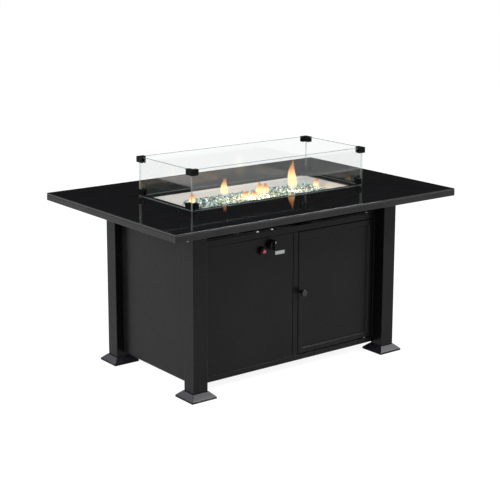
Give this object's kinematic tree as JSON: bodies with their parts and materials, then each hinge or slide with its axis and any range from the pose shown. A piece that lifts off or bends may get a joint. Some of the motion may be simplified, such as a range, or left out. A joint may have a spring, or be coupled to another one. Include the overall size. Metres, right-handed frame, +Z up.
{
  "type": "fire pit table",
  "caption": "Rectangular gas fire pit table: glass top with sunk burner pan and glass wind guard, on a steel cabinet with square posts and a hinged door.",
  "frame": {"origin": "on the floor, under the centre of the rectangular tabletop", "axes": "+Z up, +X along the table's length to the right of someone who faces the controls, -Y towards that person"},
  "size_m": [1.252, 0.828, 0.7755],
  "materials": {
    "black_steel": "powder coated, satin black with a fine texture",
    "foot_plastic": "moulded grey-blue plastic",
    "pad_rubber": "matt black rubber",
    "top_glass": "polished opaque black glass",
    "guard_glass": "clear tempered glass with polished edges",
    "clip_black": "black painted metal",
    "stainless": "brushed stainless steel",
    "zinc_steel": "bright zinc plated steel",
    "ceramic_white": "white ceramic",
    "fire_glass": "crushed teal and clear glass",
    "brass": "turned brass",
    "cast_aluminium": "die cast and drawn aluminium",
    "steel_stem": "turned steel",
    "knob_black": "moulded black plastic",
    "bush_nylon": "black nylon",
    "button_red": "glossy red plastic",
    "battery_case": "plain metal jacket"
  },
  "bodies": {
    "table": {"post_front_left": "black_steel", "post_front_right": "black_steel", "post_back_left": "black_steel", "post_back_right": "black_steel", "rim_rail_front": "black_steel", "rim_rail_back": "black_steel", "rim_rail_left": "black_steel", "rim_rail_right": "black_steel", "bearer_left": "black_steel", "bearer_right": "black_steel", "pan_bearer_front": "black_steel", "pan_bearer_back": "black_steel", "side_panel_left": "black_steel", "side_panel_right": "black_steel", "back_panel": "black_steel", "front_panel": "black_steel", "top_rail_front": "black_steel", "bottom_rail_front": "black_steel", "door_mullion": "black_steel", "door_jamb": "black_steel", "base_shelf": "black_steel", "tank_ring": "black_steel", "valve_bracket": "black_steel", "magnet_catch": "black_steel", "foot_front_left": "foot_plastic", "foot_front_right": "foot_plastic", "foot_back_left": "foot_plastic", "foot_back_right": "foot_plastic", "foot_pads": "pad_rubber", "tabletop_glass": "top_glass", "burner_pan": "stainless", "burner_tube": "stainless", "burner_mixer": "zinc_steel", "thermocouple": "zinc_steel", "frame_screws": "zinc_steel", "door_pivot_pins": "zinc_steel", "label_plate": "zinc_steel", "ignition_electrode": "ceramic_white", "fire_glass_bed": "fire_glass", "gas_inlet_fitting": "brass", "gas_valve_body": "cast_aluminium", "gas_pipe": "cast_aluminium", "igniter_housing": "knob_black", "igniter_nut": "knob_black", "igniter_battery": "battery_case"},
    "door": {"door_leaf": "black_steel", "door_bushes": "bush_nylon", "strike_plate": "zinc_steel", "door_knob": "knob_black", "door_knob_screw": "zinc_steel"},
    "valve_plunger": {"valve_collar": "brass"},
    "gas_knob": {"valve_stem": "steel_stem", "gas_knob": "knob_black"},
    "igniter_button": {"igniter_button": "button_red"},
    "wind_guard": {"guard_pane_front": "guard_glass", "guard_pane_back": "guard_glass", "guard_pane_left": "guard_glass", "guard_pane_right": "guard_glass", "guard_top_clips": "clip_black", "guard_bottom_clips": "clip_black"}
  },
  "joints": [
    {"name": "door_hinge", "type": "hinge", "parent": "table", "child": "door", "pos_m": [0.362, -0.22, 0.2855], "axis": [0, 0, 1], "range_deg": [0, 100]},
    {"name": "gas_knob_push", "type": "slide", "parent": "table", "child": "valve_plunger", "axis": [0, 1, 0], "range_m": [0, 0.003], "stiffness_N_per_m": 900},
    {"name": "gas_knob_turn", "type": "hinge", "parent": "valve_plunger", "child": "gas_knob", "pos_m": [-0.097, -0.245, 0.486], "axis": [0, -1, 0], "range_deg": [0, 180]},
    {"name": "igniter_push", "type": "slide", "parent": "table", "child": "igniter_button", "axis": [0, 1, 0], "range_m": [0, 0.004], "stiffness_N_per_m": 800},
    {"name": "guard_lift", "type": "slide", "parent": "table", "child": "wind_guard", "axis": [0, 0, 1], "range_m": [0, 0.2]}
  ]
}
